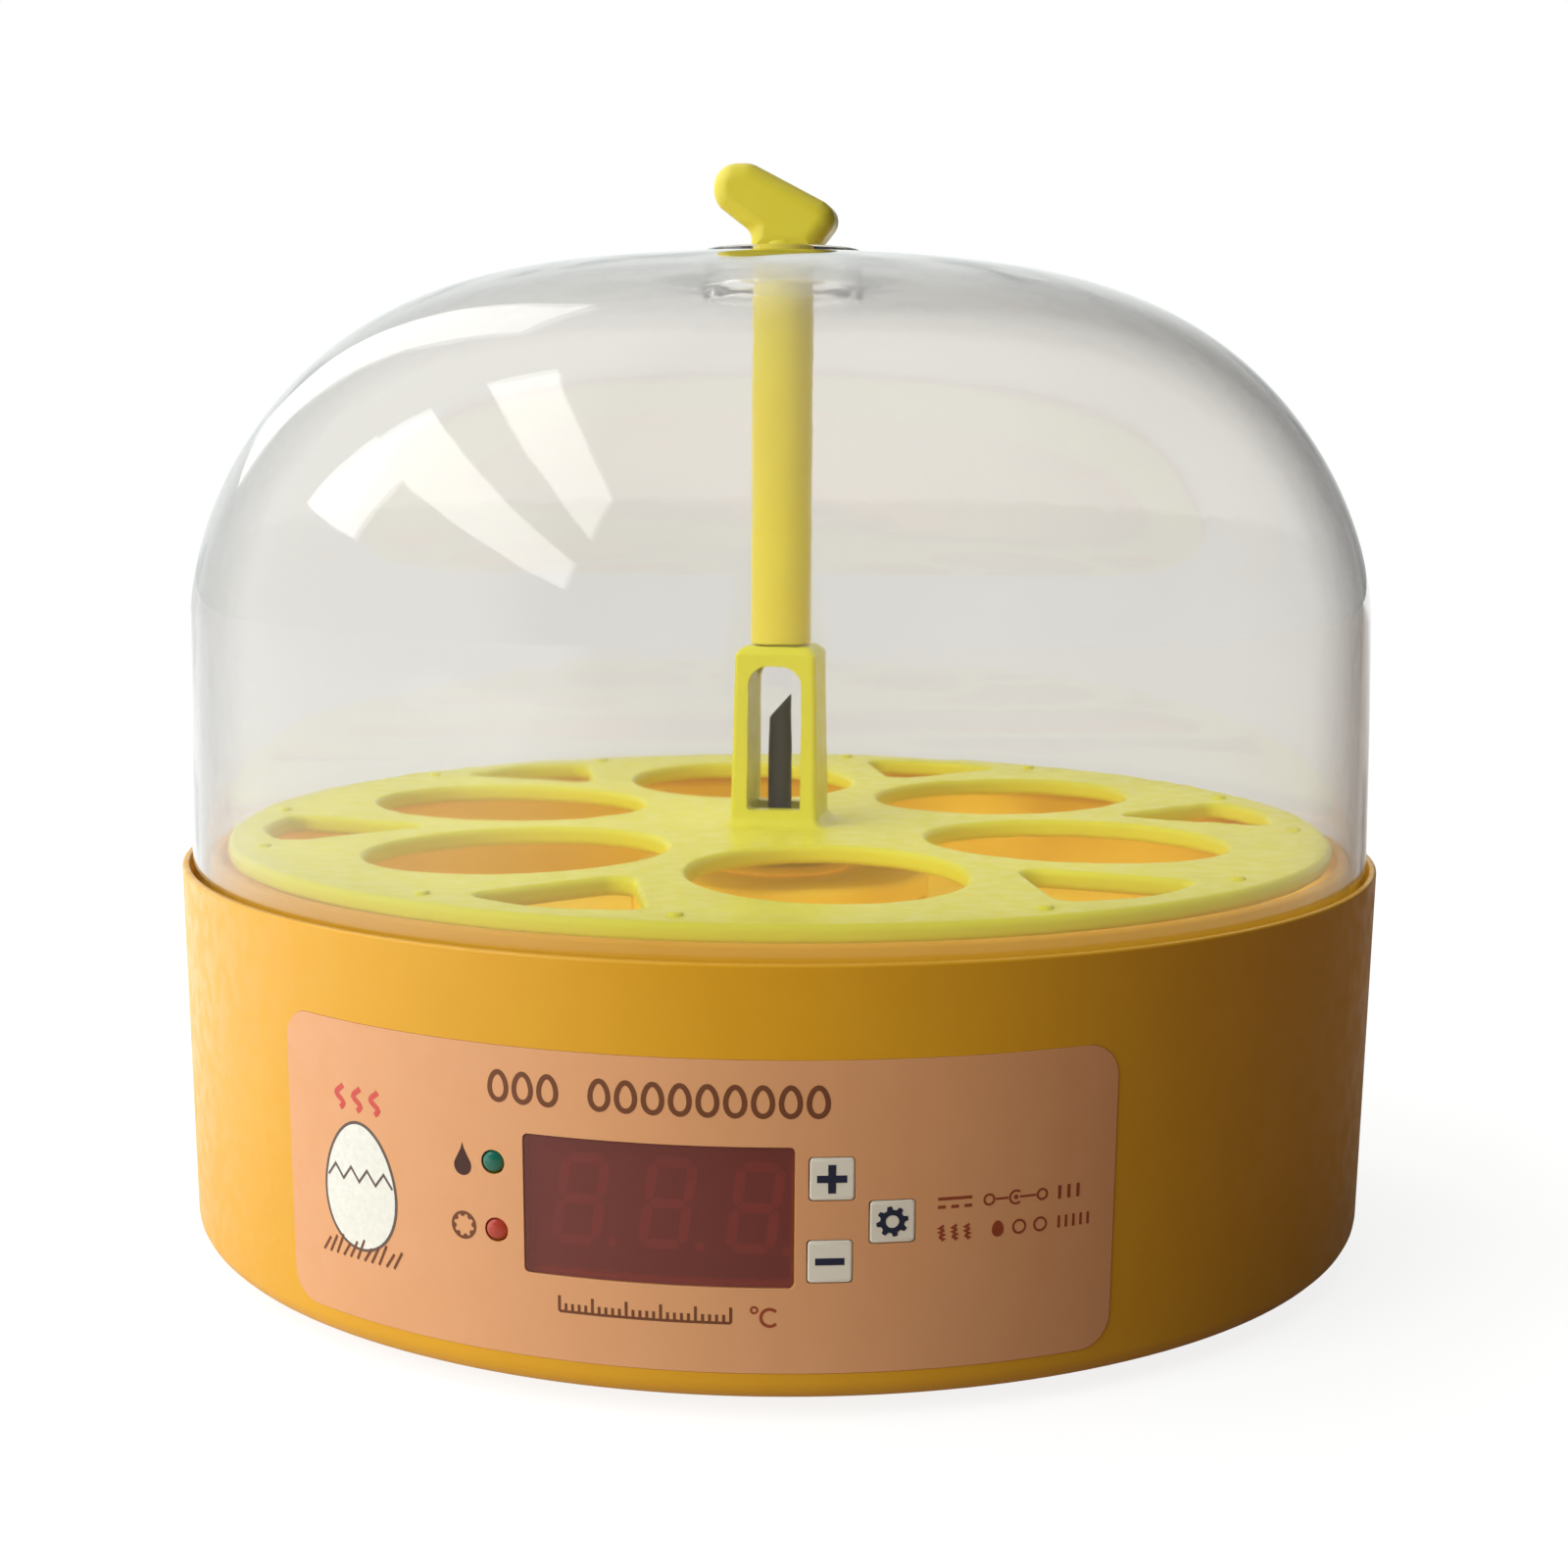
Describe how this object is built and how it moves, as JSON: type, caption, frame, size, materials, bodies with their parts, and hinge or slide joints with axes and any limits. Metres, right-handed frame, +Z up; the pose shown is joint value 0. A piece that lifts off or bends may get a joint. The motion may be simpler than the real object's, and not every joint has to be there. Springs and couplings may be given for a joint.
{
  "type": "egg incubator",
  "caption": "Small round egg incubator: yellow base with a temperature control panel, egg tray that turns by a top handle, and a clear lift-off dome.",
  "frame": {"origin": "on the ground under the centre of the round base", "axes": "+Z up, the control panel faces -Y, the supply inlet faces +Y, +X is to the right of someone facing the panel"},
  "size_m": [0.21, 0.21, 0.1856],
  "materials": {
    "orange_shell": "moulded ABS, satin gloss",
    "orange_pan": "moulded ABS, satin gloss",
    "lemon_tray": "moulded ABS, soft gloss",
    "lemon_handle": "moulded ABS, soft gloss",
    "clear_dome": "clear polystyrene, polished",
    "panel_film": "printed polyester film",
    "smoked_window": "dark red acrylic, polished",
    "grey_key": "moulded keys, matt",
    "black_plastic": "moulded, matt",
    "white_plastic": "acetal, smooth",
    "foot_rubber": "moulded rubber",
    "zinc_screw": "zinc plated",
    "circuit_board": "fibreglass laminate, lacquered",
    "green_lens": "clear tinted lens",
    "red_lens": "clear tinted lens",
    "heater_sleeve": "silicone sleeve",
    "lead_black": "flexible insulation",
    "lead_red": "flexible insulation"
  },
  "bodies": {
    "base": {"base_shell": "orange_shell", "bottom_cover": "orange_shell", "water_pan": "orange_pan", "fan_housing": "orange_pan", "heating_ring": "heater_sleeve", "temperature_probe": "black_plastic", "fan_frame": "black_plastic", "control_film": "panel_film", "display_window": "smoked_window", "display_module": "black_plastic", "control_board": "circuit_board", "plus_switch": "black_plastic", "minus_switch": "black_plastic", "settings_switch": "black_plastic", "green_lamp": "green_lens", "red_lamp": "red_lens", "microcontroller": "black_plastic", "heater_transistor": "black_plastic", "buzzer": "black_plastic", "capacitor": "black_plastic", "lead_connector": "white_plastic", "power_connector": "white_plastic", "power_jack": "black_plastic", "jack_nut": "zinc_screw", "power_lead": "lead_black", "fan_lead": "lead_black", "heater_lead": "lead_red", "probe_lead": "lead_black", "foot_front_left": "foot_rubber", "foot_front_right": "foot_rubber", "foot_rear_right": "foot_rubber", "foot_rear_left": "foot_rubber", "cover_screw_1": "zinc_screw", "cover_screw_2": "zinc_screw", "cover_screw_3": "zinc_screw", "cover_screw_4": "zinc_screw", "fan_screw_1": "zinc_screw", "fan_screw_2": "zinc_screw", "fan_screw_3": "zinc_screw", "fan_screw_4": "zinc_screw", "board_screw_1": "zinc_screw", "board_screw_2": "zinc_screw", "board_screw_3": "zinc_screw", "board_screw_4": "zinc_screw"},
    "turning_ring": {"turning_ring": "orange_pan"},
    "tray": {"egg_tray": "lemon_tray"},
    "handle": {"turning_handle": "lemon_handle"},
    "dome": {"dome": "clear_dome"},
    "fan": {"fan_rotor": "black_plastic"},
    "plus_key": {"plus_button": "grey_key"},
    "minus_key": {"minus_button": "grey_key"},
    "settings_key": {"settings_button": "grey_key"}
  },
  "joints": [
    {"name": "tray_turn", "type": "hinge", "parent": "base", "child": "turning_ring", "pos_m": [0, 0, 0.065], "axis": [0, 0, 1], "continuous": true},
    {"name": "tray_lift", "type": "slide", "parent": "turning_ring", "child": "tray", "axis": [0, 0, 1], "range_m": [0, 0.04]},
    {"name": "handle_lift", "type": "slide", "parent": "tray", "child": "handle", "axis": [0, 0, 1], "range_m": [0, 0.1]},
    {"name": "dome_lift", "type": "slide", "parent": "base", "child": "dome", "axis": [0, 0, 1], "range_m": [0, 0.13]},
    {"name": "fan_spin", "type": "hinge", "parent": "base", "child": "fan", "pos_m": [0, 0, 0.041], "axis": [0, 0, 1], "continuous": true},
    {"name": "plus_press", "type": "slide", "parent": "base", "child": "plus_key", "axis": [0, 1, 0], "range_m": [0, 0.0005], "stiffness_N_per_m": 400},
    {"name": "minus_press", "type": "slide", "parent": "base", "child": "minus_key", "axis": [0, 1, 0], "range_m": [0, 0.0005], "stiffness_N_per_m": 400},
    {"name": "settings_press", "type": "slide", "parent": "base", "child": "settings_key", "axis": [0, 1, 0], "range_m": [0, 0.0005], "stiffness_N_per_m": 400}
  ]
}
